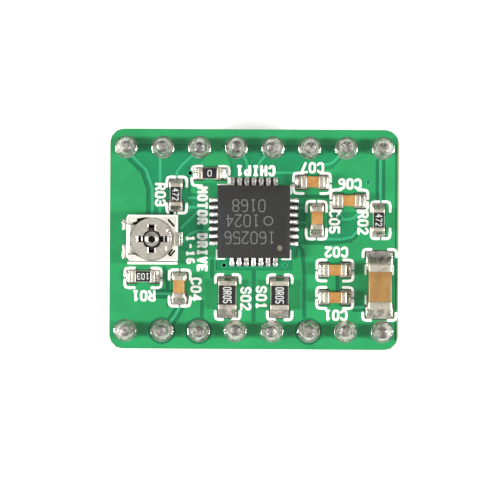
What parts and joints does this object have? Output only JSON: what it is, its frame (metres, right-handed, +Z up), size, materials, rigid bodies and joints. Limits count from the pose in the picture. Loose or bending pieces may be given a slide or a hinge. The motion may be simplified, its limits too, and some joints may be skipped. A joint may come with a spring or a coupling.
{
  "type": "stepper driver module",
  "caption": "Plug-in stepper motor driver board with two rows of header pins, a leadless driver chip and a current-setting trimmer.",
  "frame": {"origin": "centre of the board, in the plane of the header pin tips", "axes": "+X along the pin rows, away from the trimmer; +Y towards header row A; +Z up, out of the component side of the board"},
  "size_m": [0.02, 0.0152, 0.0115],
  "materials": {
    "board": "green solder mask over glass-fibre laminate, satin gloss",
    "header_plastic": "black moulded plastic",
    "pin_metal": "thin gold flash over brass",
    "solder": "bright reflowed tin solder",
    "tinned_metal": "tin plate",
    "chip_mould": "dark grey mould compound, fine matte grain",
    "copper": "bare copper alloy, tinned underneath",
    "silicon": "polished silicon",
    "resistor_ceramic": "black protective glaze over alumina",
    "capacitor_ceramic": "fired tan ceramic, satin",
    "bulk_capacitor_ceramic": "fired brown ceramic, satin",
    "trimmer_plastic": "off-white moulded resin",
    "trimmer_metal": "nickel-plated pressed metal",
    "alumina": "white fired alumina",
    "cermet": "dark fired resistive paste",
    "silkscreen": "white printed ink",
    "laser_mark": "light grey laser marking",
    "solder_mask": "green solder mask"
  },
  "bodies": {
    "module": {"bulk_capacitor_c3": "bulk_capacitor_ceramic", "capacitor_c1": "capacitor_ceramic", "capacitor_c2": "capacitor_ceramic", "capacitor_c4": "capacitor_ceramic", "capacitor_c5": "capacitor_ceramic", "capacitor_c6": "capacitor_ceramic", "capacitor_c7": "capacitor_ceramic", "circuit_board": "board", "driver_body": "chip_mould", "driver_die": "silicon", "driver_thermal_pad": "copper", "header_pin_a1": "pin_metal", "header_pin_a2": "pin_metal", "header_pin_a3": "pin_metal", "header_pin_a4": "pin_metal", "header_pin_a5": "pin_metal", "header_pin_a6": "pin_metal", "header_pin_a7": "pin_metal", "header_pin_a8": "pin_metal", "header_pin_b1": "pin_metal", "header_pin_b2": "pin_metal", "header_pin_b3": "pin_metal", "header_pin_b4": "pin_metal", "header_pin_b5": "pin_metal", "header_pin_b6": "pin_metal", "header_pin_b7": "pin_metal", "header_pin_b8": "pin_metal", "header_strip_a": "header_plastic", "header_strip_b": "header_plastic", "resistor_r1": "resistor_ceramic", "resistor_r2": "resistor_ceramic", "resistor_r3": "resistor_ceramic", "sense_resistor_s1": "resistor_ceramic", "sense_resistor_s2": "resistor_ceramic", "solder_joint_a1": "solder", "solder_joint_a2": "solder", "solder_joint_a3": "solder", "solder_joint_a4": "solder", "solder_joint_a5": "solder", "solder_joint_a6": "solder", "solder_joint_a7": "solder", "solder_joint_a8": "solder", "solder_joint_b1": "solder", "solder_joint_b2": "solder", "solder_joint_b3": "solder", "solder_joint_b4": "solder", "solder_joint_b5": "solder", "solder_joint_b6": "solder", "solder_joint_b7": "solder", "solder_joint_b8": "solder", "trimmer_end_terminal_1": "tinned_metal", "trimmer_end_terminal_2": "tinned_metal", "trimmer_eyelet": "tinned_metal", "trimmer_housing": "trimmer_plastic", "trimmer_resistive_track": "cermet", "trimmer_substrate": "alumina", "trimmer_wiper_terminal": "tinned_metal", "zero_ohm_link": "resistor_ceramic"},
    "rotor": {"trimmer_rotor": "trimmer_metal", "trimmer_wiper": "trimmer_metal"}
  },
  "joints": [
    {"name": "trimmer_turn", "type": "hinge", "parent": "module", "child": "rotor", "pos_m": [-0.00705, -0.00003, 0.0112], "axis": [0, 0, 1], "range_deg": [-110, 110]}
  ]
}
